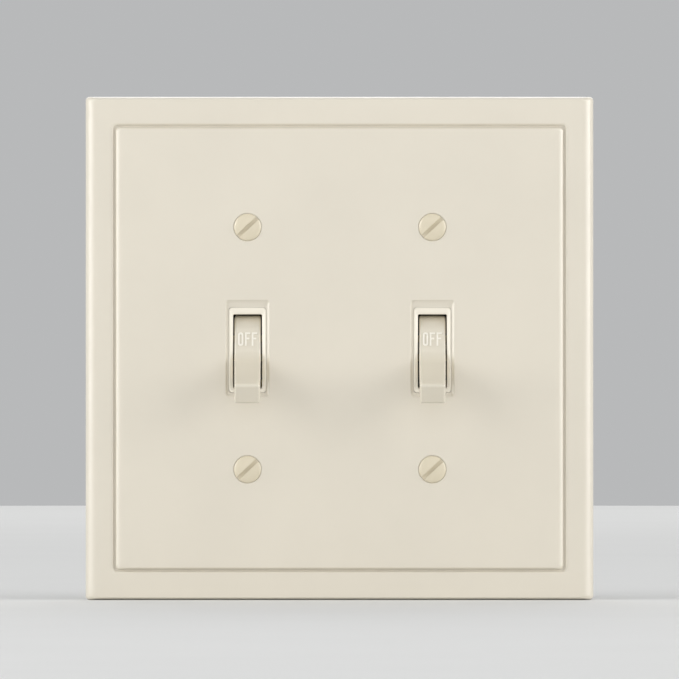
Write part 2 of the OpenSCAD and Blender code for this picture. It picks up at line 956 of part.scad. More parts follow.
module switch_part(part) {
    if (part == "mounting_strap") mounting_strap();
    if (part == "front_cover") front_cover();
    if (part == "back_housing") back_housing();
    if (part == "toggle_lever") toggle_lever();
    if (part == "plunger") plunger();
    if (part == "plunger_spring") plunger_spring();
    if (part == "rocker_blade") rocker_blade();
    if (part == "rocker_pin") rocker_pin();
    if (part == "moving_contact") moving_contact();
    if (part == "fixed_contact") fixed_contact();
    if (part == "common_terminal") common_terminal();
    if (part == "load_terminal") load_terminal();
    if (part == "terminal_screws") terminal_screws();
    if (part == "ground_screw") ground_screw();
    if (part == "mounting_screws") mounting_screws();
    if (part == "screw_retainers") screw_retainers();
    if (part == "rivets") rivets();
}

wall_plate();
plate_screws();
for (i = [0 : len(SIDES) - 1])
    for (part = SWITCH_PARTS)
        translate([ENDS[i] * gang_spacing / 2, 0, 0])
                switch_part(part);
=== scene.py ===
"""Looks of the two-gang toggle switch: enamelled plate, screws, levers, collars and device bodies.

Lengths in the named values are millimetres and are scaled by MM where a mesh is made.
A profile is a list of (inset or radius, height): heights run towards the room, so y = -height.
"""

import json
import math

import bmesh
import bpy
from mathutils import Matrix, Vector


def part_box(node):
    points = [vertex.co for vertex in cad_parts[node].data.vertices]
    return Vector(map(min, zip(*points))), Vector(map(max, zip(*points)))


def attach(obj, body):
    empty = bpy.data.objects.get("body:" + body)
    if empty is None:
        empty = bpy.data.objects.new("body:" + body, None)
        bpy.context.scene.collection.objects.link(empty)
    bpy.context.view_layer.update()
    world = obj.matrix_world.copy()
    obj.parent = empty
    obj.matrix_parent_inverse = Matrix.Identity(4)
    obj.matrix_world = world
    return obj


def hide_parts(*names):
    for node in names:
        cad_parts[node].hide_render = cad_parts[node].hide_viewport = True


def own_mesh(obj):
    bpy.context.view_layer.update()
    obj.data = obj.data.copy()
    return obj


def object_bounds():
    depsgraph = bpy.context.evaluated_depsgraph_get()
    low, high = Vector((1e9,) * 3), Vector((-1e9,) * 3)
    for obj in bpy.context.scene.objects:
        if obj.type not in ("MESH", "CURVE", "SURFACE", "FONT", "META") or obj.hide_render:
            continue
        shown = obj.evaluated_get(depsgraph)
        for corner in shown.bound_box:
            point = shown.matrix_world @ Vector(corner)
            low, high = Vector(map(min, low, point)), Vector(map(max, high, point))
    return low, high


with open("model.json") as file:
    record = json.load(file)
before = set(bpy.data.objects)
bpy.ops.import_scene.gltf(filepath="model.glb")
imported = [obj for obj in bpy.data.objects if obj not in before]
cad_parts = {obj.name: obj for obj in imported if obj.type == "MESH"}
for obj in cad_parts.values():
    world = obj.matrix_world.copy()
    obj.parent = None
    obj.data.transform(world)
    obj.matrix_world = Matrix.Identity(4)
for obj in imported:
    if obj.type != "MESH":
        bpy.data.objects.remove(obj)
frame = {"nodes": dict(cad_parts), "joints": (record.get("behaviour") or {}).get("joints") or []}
CAD_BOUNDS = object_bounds()

MM = 0.001
SIDES = ("left", "right")

# ---------------------------------------------------------------- places taken from the frame

JOINTS = {joint["name"]: joint for joint in frame["joints"]}
GANG_X = {side: JOINTS[f"{side}_toggle"]["pos_m"][0] / MM for side in SIDES}
PIVOT_DEPTH = JOINTS["left_toggle"]["pos_m"][1] / MM
HALF_THROW = math.radians(JOINTS["left_toggle"]["range_deg"][1]) / 2
PLATE_LOW, PLATE_HIGH = (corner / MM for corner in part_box("wall_plate"))
PLATE_W = PLATE_HIGH.x - PLATE_LOW.x
PLATE_H = PLATE_HIGH.z - PLATE_LOW.z
PLATE_TOP = -PLATE_LOW.y
SCREW_BOX = [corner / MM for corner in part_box("plate_screws")]
CAD_HEAD_R = SCREW_BOX[1].x - GANG_X["right"]
PLATE_SCREW_Z = SCREW_BOX[1].z - CAD_HEAD_R
SCREW_HEAD_R = CAD_HEAD_R - 0.1
BOX_SCREW_BOX = [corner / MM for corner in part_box("left_mounting_screws")]
BOX_HEAD_R = (BOX_SCREW_BOX[1].x - BOX_SCREW_BOX[0].x) / 2
BOX_SCREW_Z = BOX_SCREW_BOX[1].z - BOX_HEAD_R
COVER_BOX = [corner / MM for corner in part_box("left_front_cover")]

# ---------------------------------------------------------------- sizes

CORNER_STEPS = 8
ROUND_STEPS = 48
SMOOTH_ANGLE = math.radians(35)

PLATE_WALL = 1.0
PLATE_CORNER_R = 1.0
EDGE_R = 3.0
PANEL_RISE = 0.6
BORDER_TOP = PLATE_TOP - PANEL_RISE
GROOVE_START, GROOVE_END = 6.97, 7.47
GROOVE_FLOOR = BORDER_TOP - 0.66
LIP_W, LIP_DROP = 0.85, 0.38
SHOULDER_W = 2.6
# (inset at the side edges, the same line's inset at the top and bottom edges)
END_INSETS = [(0, 0), (3.0, 0.75), (3.6, 1.6), (6.1, 6.4), (6.97, 7.12), (7.5, 7.62), (10.1, 8.2),
              (10.7, 9.2), (12.5, 11.5)]

PLATE_SHIFT = -0.12
OPENING_W, OPENING_H, OPENING_R, OPENING_EDGE_R = 11.1, 24.3, 0.7, 0.3
# the narrow floor between the opening's edge and the collar, then the edge turned in behind it
POCKET_W, POCKET_H, POCKET_SHIFT, POCKET_SAG, POCKET_SINK = 10.2, 22.9, -0.14, -0.12, -0.46
COLLAR_GAP, TURN_IN_TOP, TURN_IN_BOTTOM = 0.06, -0.54, -1.4
# the dimple a plate screw's head sits in
SEAT_GAP, SEAT_DEPTH, SEAT_HOLE_GAP, SEAT_HOLE_T = 0.05, 1.8, 0.2, 0.35

THREAD_R, THREAD_ROOT_R, THREAD_PITCH = 1.753, 1.38, 0.794
OVAL_DOME = 0.62
OVAL_SLOT_TURN = math.radians(43)
OVAL_SLOT_DEPTH = 0.74
OVAL_SLOT_W = 0.95
BOX_HEAD_T, BOX_SLOT_W, BOX_SLOT_DEPTH, BOX_SLOT_TURN = 2.4, 0.95, 1.15, math.radians(20)
SIDE_HEAD_T, SIDE_SLOT_W, SIDE_SLOT_DEPTH, SIDE_SLOT_TURN = 2.2, 1.0, 1.1, math.radians(35)
SIDE_THREAD_R, SIDE_ROOT_R, SIDE_PITCH = 1.9, 1.5, 0.8
# turns over which a thread fades out at the tip and rises under the head
THREAD_RUN_OUT, THREAD_START, THREAD_SLOPE = 1.6, 0.8, 2.34

COLLAR_W, COLLAR_H, COLLAR_R = 9.3, 21.2, 0.8
COLLAR_TOP = -COVER_BOX[0].y - 0.15
COLLAR_SAG = -0.45
LEVER_SLOT_W, LEVER_SLOT_H = 7.2, 18.4
LIP_SAG = -0.75
COLLAR_EDGE_R, SLOT_EDGE_R, SLOT_CORNER_R = 0.28, 0.36, 0.35
COLLAR_FOOT = 2.2
COVER_T = 1.5
COVER_CORNER_R, COVER_CHAMFER = 2.0, 0.25
CHEEK_X, CHEEK_HALF_T, CHEEK_HALF_H, CHEEK_BACK, BEARING_R = 4.8, 1.2, 3.5, 1.5, 1.55
RIVET_Z, RIVET_R = 20.5, 1.28

DRUM_R, DRUM_HALF = 9.1, math.radians(90)
DRUM_SWELL, DRUM_SWELL_FROM, DRUM_SWELL_TO = 1.0, 38, 75
LEVER_W, LEVER_LEN = 6.6, 25.2
NECK_T, TIP_T = 4.4, 5.4
HUB_R = 2.8
LEVER_EDGE_R = 0.85
LEVER_TAPER = 0.3
NECK_BEND, NECK_Y, TIP_R = math.radians(26), -12.5, 0.75
TRUNNION_R, TRUNNION_REACH = 1.5, 2.2
STEM_R, STEM_LEN, BORE_R, BORE_FRONT = 2.3, 6.1, 1.45, 2.2

LETTER_W, LETTER_H, STROKE, LETTER_GAP = 1.34, 3.25, 0.42, 0.37
LEGEND_ANGLE = math.radians(41.2)
LEGEND_RISE, LEGEND_SINK = 0.2, 0.15

FLOOR_R_M = 1.6


# ---------------------------------------------------------------- mesh helpers

def arc(cx, cy, rx, ry, start, end, steps=CORNER_STEPS):
    """Points of an elliptical arc from start to end, in degrees."""
    points = []
    for i in range(steps + 1):
        angle = math.radians(start + (end - start) * i / steps)
        points.append((cx + rx * math.cos(angle), cy + ry * math.sin(angle)))
    return points


def bezier(start, control, end, steps=CORNER_STEPS):
    """Points of a quadratic curve."""
    points = []
    for i in range(steps + 1):
        t = i / steps
        points.append(tuple(
            (1 - t) ** 2 * a + 2 * t * (1 - t) * b + t * t * c
            for a, b, c in zip(start, control, end)
        ))
    return points


def round_rect(width, height, radius, centre=(0, 0)):
    """Points of a rectangle with round corners, as (x, z)."""
    points = []
    for turn, sx, sz in ((0, 1, 1), (90, -1, 1), (180, -1, -1), (270, 1, -1)):
        cx = centre[0] + sx * (width / 2 - radius)
        cz = centre[1] + sz * (height / 2 - radius)
        points += arc(cx, cz, radius, radius, turn, turn + 90)
    return points


def circle(radius, centre=(0, 0), steps=ROUND_STEPS):
    """Points of a circle, as (x, z)."""
    return arc(centre[0], centre[1], radius, radius, 0, 360 * (1 - 1 / steps), steps - 1)


class Shell:
    """A closed surface made of rings at given heights, flat fills and caps."""

    def __init__(self):
        self.bm = bmesh.new()

    def ring(self, points, height):
        """A loop of (x, z) points at one height above the wall."""
        return [self.bm.verts.new((x * MM, -height * MM, z * MM)) for x, z in points]

    def bridge(self, first, second):
        """Quads between two rings of the same length."""
        count = len(first)
        for i in range(count):
            j = (i + 1) % count
            self.bm.faces.new((first[i], first[j], second[j], second[i]))

    def loft(self, rings):
        """Bridges each ring to the next, and returns the first and the last."""
        for first, second in zip(rings, rings[1:]):
            self.bridge(first, second)
        return rings[0], rings[-1]

    def fill(self, rings):
        """A flat face bounded by the rings: the largest outside, the others as holes."""
        edges = []
        for ring in rings:
            for i, vert in enumerate(ring):
                edges.append(self.edge(vert, ring[(i + 1) % len(ring)]))
        bmesh.ops.triangle_fill(self.bm, use_beauty=True, edges=edges)

    def edge(self, first, second):
        return self.bm.edges.get((first, second)) or self.bm.edges.new((first, second))

    def cap(self, ring):
        self.bm.faces.new(ring)

    def finish(self, name, material):
        bmesh.ops.recalc_face_normals(self.bm, faces=self.bm.faces)
        mesh = bpy.data.meshes.new(name)
        self.bm.to_mesh(mesh)
        self.bm.free()
        return mesh_piece(name, mesh, material)


def mesh_piece(name, mesh, material):
    """A linked object whose flat faces stay flat next to its rounded edges."""
    piece = bpy.data.objects.new(name, mesh)
    bpy.context.scene.collection.objects.link(piece)
    piece.data.materials.clear()
    piece.data.materials.append(material)
    smooth(piece)
    return piece


def smooth(piece):
    """Smooth shading, with sharp corners where faces meet steeply."""
    for face in piece.data.polygons:
        face.use_smooth = True
    piece.data.set_sharp_from_angle(angle=SMOOTH_ANGLE)
    if "flat" not in piece.modifiers:
        flat = piece.modifiers.new("flat", "WEIGHTED_NORMAL")
        flat.keep_sharp = True


def bake(piece):
    """Applies the piece's modifiers to its mesh."""
    graph = bpy.context.evaluated_depsgraph_get()
    old = piece.data
    piece.data = bpy.data.meshes.new_from_object(piece.evaluated_get(graph))
    piece.modifiers.clear()
    bpy.data.meshes.remove(old)


def combine(piece, others, operation):
    """Joins or cuts the piece with other meshes, which are used up."""
    piece.modifiers.clear()
    for other in others:
        other.modifiers.clear()
        step = piece.modifiers.new(operation, "BOOLEAN")
        step.operation = operation
        step.solver = "EXACT"
        step.object = other
        bpy.context.view_layer.update()
        bake(piece)
        bpy.data.objects.remove(other)
    smooth(piece)


def soften(piece, width, segments=3, angle=40):
    """Rounds the piece's sharp edges."""
    flat = piece.modifiers.get("flat")
    if flat:
        piece.modifiers.remove(flat)
    bevel = piece.modifiers.new("soften", "BEVEL")
    bevel.width = width * MM
    bevel.segments = segments
    bevel.limit_method = "ANGLE"
    bevel.angle_limit = math.radians(angle)
    bevel.use_clamp_overlap = True
    smooth(piece)


def lathe(name, profile, material, steps=ROUND_STEPS):
    """A turned solid about Y from (radius, height) points, closed at both ends."""
    shell = Shell()
    rings = [shell.ring(circle(max(r, 0.02), steps=steps), h) for r, h in profile]
    first, last = shell.loft(rings)
    shell.cap(first)
    shell.cap(last)
    return shell.finish(name, material)


def block(name, size, material, centre=(0, 0, 0), turn=None):
    """A box used to cut a slot, or as a stock to soften."""
    bm = bmesh.new()
    bmesh.ops.create_cube(bm, size=1)
    bmesh.ops.scale(bm, vec=Vector(size) * MM, verts=bm.verts)
    if turn:
        bm.transform(turn)
    bmesh.ops.translate(bm, vec=Vector(centre) * MM, verts=bm.verts)
    mesh = bpy.data.meshes.new(name)
    bm.to_mesh(mesh)
    bm.free()
    return mesh_piece(name, mesh, material)


def extruded(name, outline, half_width, material):
    """A solid with a (y, z) outline, from -half_width to half_width along X."""
    bm = bmesh.new()
    low = [bm.verts.new((-half_width * MM, y * MM, z * MM)) for y, z in outline]
    high = [bm.verts.new((half_width * MM, y * MM, z * MM)) for y, z in outline]
    count = len(outline)
    for i in range(count):
        j = (i + 1) % count
        bm.faces.new((low[i], low[j], high[j], high[i]))
    bm.faces.new(low)
    bm.faces.new(high)
    bmesh.ops.recalc_face_normals(bm, faces=bm.faces)
    mesh = bpy.data.meshes.new(name)
    bm.to_mesh(mesh)
    bm.free()
    return mesh_piece(name, mesh, material)


def moved(piece, matrix):
    """Moves the piece's mesh, so that its object stays at the origin."""
    piece.data.transform(matrix)
    return piece


def copies(name, piece, matrices):
    """One object holding a copy of the piece's finished mesh at each matrix."""
    bake(piece)
    bm = bmesh.new()
    for matrix in matrices:
        start = len(bm.verts)
        bm.from_mesh(piece.data)
        bm.verts.ensure_lookup_table()
        bmesh.ops.transform(bm, matrix=matrix, verts=bm.verts[start:])
    mesh = bpy.data.meshes.new(name)
    bm.to_mesh(mesh)
    bm.free()
    material = piece.data.materials[0]
    bpy.data.objects.remove(piece)
    return mesh_piece(name, mesh, material)


# ---------------------------------------------------------------- materials

class Finish:
    """A Principled material with helpers for its noise, colour and bump."""

    def __init__(self, name, color, roughness, metallic=0.0, coat=0.0, specular=0.5):
        self.material = bpy.data.materials.new(name)
        self.material.use_nodes = True
        self.nodes = self.material.node_tree.nodes
        self.links = self.material.node_tree.links
        self.shader = self.nodes["Principled BSDF"]
        self.color = color
        self.set("Base Color", (*color, 1))
        self.set("Roughness", roughness)
        self.set("Metallic", metallic)
        self.set("Coat Weight", coat)
        self.set("Coat Roughness", 0.25)
        self.set("Specular IOR Level", specular)
        self.place = self.nodes.new("ShaderNodeTexCoord").outputs["Object"]

    def set(self, socket, value):
        self.shader.inputs[socket].default_value = value

    def noise(self, size_mm, detail=3.0, stretch=(1, 1, 1)):
        """Noise whose features are about size_mm across, longer along a small stretch value."""
        mapping = self.nodes.new("ShaderNodeMapping")
        mapping.inputs["Scale"].default_value = stretch
        self.links.new(self.place, mapping.inputs["Vector"])
        noise = self.nodes.new("ShaderNodeTexNoise")
        noise.inputs["Scale"].default_value = 1 / (size_mm * MM)
        noise.inputs["Detail"].default_value = detail
        self.links.new(mapping.outputs["Vector"], noise.inputs["Vector"])
        return noise.outputs["Fac"]

    def mottle(self, fac, dark=0.97, light=1.02, low=0.35, high=0.65):
        """Varies the base colour between a darker and a lighter shade of itself."""
        ramp = self.nodes.new("ShaderNodeValToRGB")
        ramp.color_ramp.elements[0].position = low
        ramp.color_ramp.elements[1].position = high
        ramp.color_ramp.elements[0].color = (*(c * dark for c in self.color), 1)
        ramp.color_ramp.elements[1].color = (*(min(c * light, 1) for c in self.color), 1)
        self.links.new(fac, ramp.inputs["Fac"])
        self.links.new(ramp.outputs["Color"], self.shader.inputs["Base Color"])
        return ramp.outputs["Color"]

    def stain(self, base, fac, color, low, high):
        """Mixes another colour in where fac passes from low to high."""
        mask = self.nodes.new("ShaderNodeMapRange")
        mask.inputs["From Min"].default_value = low
        mask.inputs["From Max"].default_value = high
        self.links.new(fac, mask.inputs["Value"])
        mix = self.nodes.new("ShaderNodeMix")
        mix.data_type = "RGBA"
        mix.inputs["B"].default_value = (*color, 1)
        self.links.new(mask.outputs["Result"], mix.inputs["Factor"])
        self.links.new(base, mix.inputs["A"])
        self.links.new(mix.outputs["Result"], self.shader.inputs["Base Color"])
        return mix.outputs["Result"]

    def rough(self, fac, low, high):
        """Varies the roughness between low and high."""
        spread = self.nodes.new("ShaderNodeMapRange")
        spread.inputs["From Min"].default_value = 0.3
        spread.inputs["From Max"].default_value = 0.7
        spread.inputs["To Min"].default_value = low
        spread.inputs["To Max"].default_value = high
        self.links.new(fac, spread.inputs["Value"])
        self.links.new(spread.outputs["Result"], self.shader.inputs["Roughness"])

    def bump(self, fac, depth_mm, strength=1.0):
        """Adds relief of the given depth, on top of any earlier one."""
        bump = self.nodes.new("ShaderNodeBump")
        bump.inputs["Strength"].default_value = strength
        bump.inputs["Distance"].default_value = depth_mm * MM
        self.links.new(fac, bump.inputs["Height"])
        normal = self.shader.inputs["Normal"]
        if normal.is_linked:
            self.links.new(normal.links[0].from_socket, bump.inputs["Normal"])
        self.links.new(bump.outputs["Normal"], normal)


def enamel(name, color, roughness):
    """Baked enamel: nearly even colour, faint orange peel and handling marks."""
    finish = Finish(name, color, roughness, coat=0.55, specular=0.55)
    finish.mottle(finish.noise(26, 4), 0.985, 1.012)
    finish.rough(finish.noise(9, 5), roughness - 0.05, roughness + 0.07)
    finish.bump(finish.noise(1.6, 2), 0.006)
    finish.bump(finish.noise(0.3, 2), 0.0012)
    return finish.material


def moulded(name, color, roughness, grain_mm=0.35, depth_mm=0.004, variety=0.02, coat=0):
    """Moulded plastic: fine grain, slight flow marks and uneven gloss."""
    finish = Finish(name, color, roughness, coat=coat, specular=0.5)
    finish.mottle(finish.noise(9, 2), 1 - variety, 1 + variety)
    if variety > 0.01:
        finish.rough(finish.noise(3, 2), roughness - 1.5 * variety, roughness + 3 * variety)
    finish.bump(finish.noise(grain_mm, 3), depth_mm)
    return finish.material


def plated(name, color, roughness, stain=None, stretch=(1, 1, 0.08)):
    """Plated or rolled metal: drawn scratches, cloudy gloss and some tarnish."""
    finish = Finish(name, color, roughness, metallic=1.0)
    base = finish.mottle(finish.noise(4, 5), 0.95, 1.03)
    if stain:
        finish.stain(base, finish.noise(6, 6), stain, 0.60, 0.95)
    finish.rough(finish.noise(0.5, 6, stretch), roughness - 0.07, roughness + 0.14)
    finish.bump(finish.noise(0.18, 4, stretch), 0.0035)
    return finish.material


PAINT = enamel("plate_enamel", (0.710, 0.657, 0.552), 0.34)
SCREW_PAINT = enamel("screw_enamel", (0.685, 0.612, 0.458), 0.38)
LEVER_PLASTIC = moulded("lever_plastic", (0.700, 0.645, 0.530), 0.26, 0.5, 0.0015, 0.006, 1.0)
# painted highlight: the legend letters are lighter than the lever's plastic, standing in for light
# caught on the tops of the raised letters
LEGEND_HIGHLIGHT_PLASTIC = moulded("legend_plastic_painted_highlight", (0.86, 0.82, 0.73), 0.34, 0.4, 0.001, 0.006, 0.5)
# painted light: the collar's plastic is made lighter than the lever's, standing in for light that
# the lever keeps out of the opening
COLLAR_PAINTED_LIGHT_PLASTIC = moulded("collar_plastic_painted_light", (0.890, 0.835, 0.715), 0.36, 0.4, 0.002, 0.006, 0.6)
HOUSING_PLASTIC = moulded("housing_plastic", (0.055, 0.050, 0.046), 0.46, 0.45, 0.010, 0.03)
NYLON = moulded("nylon", (0.78, 0.75, 0.67), 0.4)
FIBRE = moulded("fibre", (0.29, 0.20, 0.12), 0.75, 0.25, 0.015, 0.06)
ZINC = plated("zinc_plate", (0.62, 0.63, 0.64), 0.32, (0.50, 0.49, 0.46))
SPRING_STEEL = plated("spring_steel", (0.46, 0.46, 0.47), 0.3)
SILVER = plated("silver_alloy", (0.86, 0.85, 0.83), 0.25)
BRASS = plated("brass_sheet", (0.80, 0.60, 0.27), 0.3, (0.55, 0.36, 0.14))
BRASS_SCREW = plated("brass_screw", (0.80, 0.62, 0.30), 0.28, (0.56, 0.40, 0.18))
GREEN_SCREW = plated("green_screw", (0.06, 0.34, 0.15), 0.34, (0.04, 0.22, 0.10))


# ---------------------------------------------------------------- wall plate

def end_inset(inset):
    """Inset at the top and bottom edges, whose edge and shoulder are rounded more tightly."""
    for (x0, z0), (x1, z1) in zip(END_INSETS, END_INSETS[1:]):
        if inset <= x1:
            return z0 + (z1 - z0) * (inset - x0) / (x1 - x0)
    return END_INSETS[-1][1]


def plate_ring(shell, inset, height):
    """The plate's outline at one inset and height."""
    width, tall = PLATE_W - 2 * inset, PLATE_H - 2 * end_inset(inset)
    return shell.ring(round_rect(width, tall, PLATE_CORNER_R, (PLATE_SHIFT, 0)), height)


def plate_front_profile():
    """(inset, height) from the rim at the wall over the border and groove to the panel."""
    profile = [(0, 0), (0, (BORDER_TOP - EDGE_R) / 2)]
    profile += arc(EDGE_R, BORDER_TOP - EDGE_R, EDGE_R, EDGE_R, 180, 90)
    profile += [(GROOVE_START - LIP_W - 0.5, BORDER_TOP)]
    profile += arc(GROOVE_START - LIP_W, BORDER_TOP - LIP_DROP, LIP_W, LIP_DROP, 90, 12, 8)
    profile += [(GROOVE_START + 0.06, GROOVE_FLOOR), (GROOVE_END, GROOVE_FLOOR)]
    rise = PLATE_TOP - GROOVE_FLOOR
    profile += arc(GROOVE_END + SHOULDER_W, GROOVE_FLOOR, SHOULDER_W, rise, 174, 90, 10)
    profile += [(GROOVE_END + SHOULDER_W + 0.6, PLATE_TOP)]
    return profile


def plate_back_profile():
    """(inset, height) from the rim at the wall over the inside of the sheet to the panel."""
    inner_r = EDGE_R - PLATE_WALL
    under = BORDER_TOP - PLATE_WALL
    ridge = GROOVE_FLOOR - 0.8
    profile = [(PLATE_WALL, 0), (PLATE_WALL, (BORDER_TOP - EDGE_R) / 2)]
    profile += arc(EDGE_R, BORDER_TOP - EDGE_R, inner_r, inner_r, 180, 90, 6)
    profile += [(GROOVE_START - 1.4, under), (GROOVE_START - 0.6, ridge)]
    profile += [(GROOVE_END + 0.6, ridge), (GROOVE_END + 1.6, PLATE_TOP - PLATE_WALL)]
    profile += [(GROOVE_END + 2.4, PLATE_TOP - PLATE_WALL)]
    return profile


def opening_rings(shell, x):
    """Turned-in edge of one toggle opening, from the front face round to the back face.

    The edge ends in a narrow pocket on the collar's left, above it and below it.
    """
    steps = [(OPENING_W, OPENING_H, 0, 0, 0)]
    for across, sink in arc(
        OPENING_EDGE_R, -OPENING_EDGE_R, OPENING_EDGE_R, OPENING_EDGE_R, 90, 150, 4
    ):
        inset = OPENING_EDGE_R - across
        steps.append((OPENING_W - 2 * inset, OPENING_H - 2 * inset, 0, 0, sink))
    end_w, end_h = COLLAR_W + COLLAR_GAP, COLLAR_H + COLLAR_GAP
    steps += [
        (POCKET_W, POCKET_H, POCKET_SHIFT, POCKET_SAG, POCKET_SINK),
        (end_w, end_h, 0, COLLAR_SAG, TURN_IN_TOP),
        (end_w, end_h, 0, COLLAR_SAG, TURN_IN_BOTTOM),
        (COLLAR_W + 1.0, COLLAR_H + 1.0, 0, COLLAR_SAG, -1.5),
        (OPENING_W + 1.8, OPENING_H + 1.2, 0, 0, -PLATE_WALL),
    ]
    rings = []
    for width, height, shift, sag, sink in steps:
        points = round_rect(width, height, OPENING_R, (x + shift, sag))
        rings.append(shell.ring(points, PLATE_TOP + sink))
    return shell.loft(rings)


def seat_rings(shell, centre):
    """Dimple for one screw, from the front face through the seat to the back face."""
    seat_r = SCREW_HEAD_R + SEAT_GAP
    hole_r, hole_top = THREAD_R + SEAT_HOLE_GAP, PLATE_TOP - SEAT_DEPTH
    hole_end = hole_top - SEAT_HOLE_T
    profile = [(seat_r + 0.6, PLATE_TOP), (seat_r + 0.42, PLATE_TOP + 0.03)]
    profile += [(seat_r + 0.26, PLATE_TOP + 0.04), (seat_r + 0.1, PLATE_TOP - 0.02)]
    profile += [(seat_r, PLATE_TOP - 0.14)]
    profile += [(hole_r, hole_top), (hole_r, hole_end)]
    profile += [(hole_r + 0.75, hole_end), (seat_r + 0.75, PLATE_TOP - PLATE_WALL)]
    return shell.loft([shell.ring(circle(r, centre), h) for r, h in profile])


def make_plate():
    """The enamelled plate, open at the levers and the plate screws."""
    shell = Shell()
    front = [plate_ring(shell, *point) for point in plate_front_profile()]
    back = [plate_ring(shell, *point) for point in plate_back_profile()]
    shell.loft(front)
    shell.loft(back)
    shell.bridge(front[0], back[0])
    holes = [opening_rings(shell, GANG_X[side]) for side in SIDES]
    for side in SIDES:
        for end in (-1, 1):
            holes.append(seat_rings(shell, (GANG_X[side], end * PLATE_SCREW_Z)))
    shell.fill([front[-1]] + [hole[0] for hole in holes])
    shell.fill([back[-1]] + [hole[1] for hole in holes])
    plate = shell.finish("enamelled_plate", PAINT)
    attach(plate, "root")
    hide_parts("wall_plate")


# ---------------------------------------------------------------- screws

def threaded(name, material, radius, root, pitch, top, bottom, steps=24, rows=6):
    """A screw's shank about Y with a real helical thread, from height top down to bottom."""
    shell = Shell()
    count = int((top - bottom) / pitch * rows)
    rings = []
    for i in range(count + 1):
        height = top + (bottom - top) * i / count
        run_out = min(1, (height - bottom) / (THREAD_RUN_OUT * pitch))
        fade = min(run_out, (top - height) / (THREAD_START * pitch) + 0.2)
        points = []
        for k in range(steps):
            phase = (height / pitch + k / steps) % 1
            crest = min(1, THREAD_SLOPE * abs(phase - 0.5))
            r = root - 0.35 * (1 - run_out)
            r += (radius - root) * crest * fade
            angle = 2 * math.pi * k / steps
            points.append((r * math.cos(angle), r * math.sin(angle)))
        rings.append(shell.ring(points, height))
    first, last = shell.loft(rings)
    shell.cap(first)
    shell.cap(last)
    return shell.finish(name, material)


def slot_cutter(material, width, depth, top, turn, length=12):
    """A bar that cuts a driver's slot into a head whose top is at height top."""
    spin = Matrix.Rotation(-turn, 4, "Y")
    return block("slot_cutter", (length, depth * 2, width), material, (0, -top, 0), spin)


def joined(first, second):
    """Adds the second mesh to the first object."""
    bake(first)
    bake(second)
    bm = bmesh.new()
    bm.from_mesh(first.data)
    bm.from_mesh(second.data)
    bm.to_mesh(first.data)
    bm.free()
    bpy.data.objects.remove(second)
    smooth(first)
    return first


def oval_screw():
    """Slotted oval-head screw on the Y axis."""
    crown = arc(0, PLATE_TOP, SCREW_HEAD_R - 0.08, OVAL_DOME, 90, 8, 12)
    profile = crown + [
        (SCREW_HEAD_R - 0.05, PLATE_TOP + 0.03), (SCREW_HEAD_R, PLATE_TOP - 0.04),
        (SCREW_HEAD_R - 0.06, PLATE_TOP - 0.13), (THREAD_R, PLATE_TOP - 1.95),
        (THREAD_ROOT_R, PLATE_TOP - 2.3),
    ]
    head = lathe("oval_head", profile, SCREW_PAINT)
    top = PLATE_TOP + OVAL_DOME
    cutter = slot_cutter(SCREW_PAINT, OVAL_SLOT_W, OVAL_SLOT_DEPTH, top, OVAL_SLOT_TURN)
    combine(head, [cutter], "DIFFERENCE")
    soften(head, 0.10, 3)
    bottom = -SCREW_BOX[1].y
    shank = threaded(
        "oval_shank", SCREW_PAINT, THREAD_R, THREAD_ROOT_R, THREAD_PITCH, PLATE_TOP - 2.2, bottom
    )
    return joined(head, shank)


def round_screw(name, material, head_r, head_t, seat, bottom):
    """Slotted round-head screw on the Y axis, its head seated at height seat."""
    crown = arc(0, seat + 0.25, head_r, head_t - 0.25, 90, 0, 10)
    profile = crown + [(head_r - 0.12, seat), (THREAD_R - 0.1, seat - 0.001)]
    profile += [(THREAD_R - 0.3, seat - 0.6)]
    head = lathe(name, profile, material)
    cutter = slot_cutter(material, BOX_SLOT_W, BOX_SLOT_DEPTH, seat + head_t, BOX_SLOT_TURN)
    combine(head, [cutter], "DIFFERENCE")
    soften(head, 0.08, 2)
    root = THREAD_R - 0.37
    shank = threaded(f"{name}_shank", material, THREAD_R, root, THREAD_PITCH, seat - 0.4, bottom)
    return joined(head, shank)


def make_plate_screws():
    """The four painted screws that hold the plate to the straps."""
    places = [
        Matrix.Translation(Vector((GANG_X[side], 0, end * PLATE_SCREW_Z)) * MM)
        for side in SIDES for end in (-1, 1)
    ]
    screws = copies("oval_head_screws", oval_screw(), places)
    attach(screws, "root")
    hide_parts("plate_screws")


def make_device_screws(side):
    """The two box screws of one switch, with their threads."""
    low_y, high_y = BOX_SCREW_BOX[0].y, BOX_SCREW_BOX[1].y
    strap_top = -low_y - BOX_HEAD_T
    screw = round_screw("box_screw", ZINC, BOX_HEAD_R, BOX_HEAD_T, strap_top, -high_y)
    places = [
        Matrix.Translation(Vector((GANG_X[side], 0, end * BOX_SCREW_Z)) * MM) for end in (-1, 1)
    ]
    screws = copies(f"{side}_box_screws", screw, places)
    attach(screws, "root")
    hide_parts(f"{side}_mounting_screws")


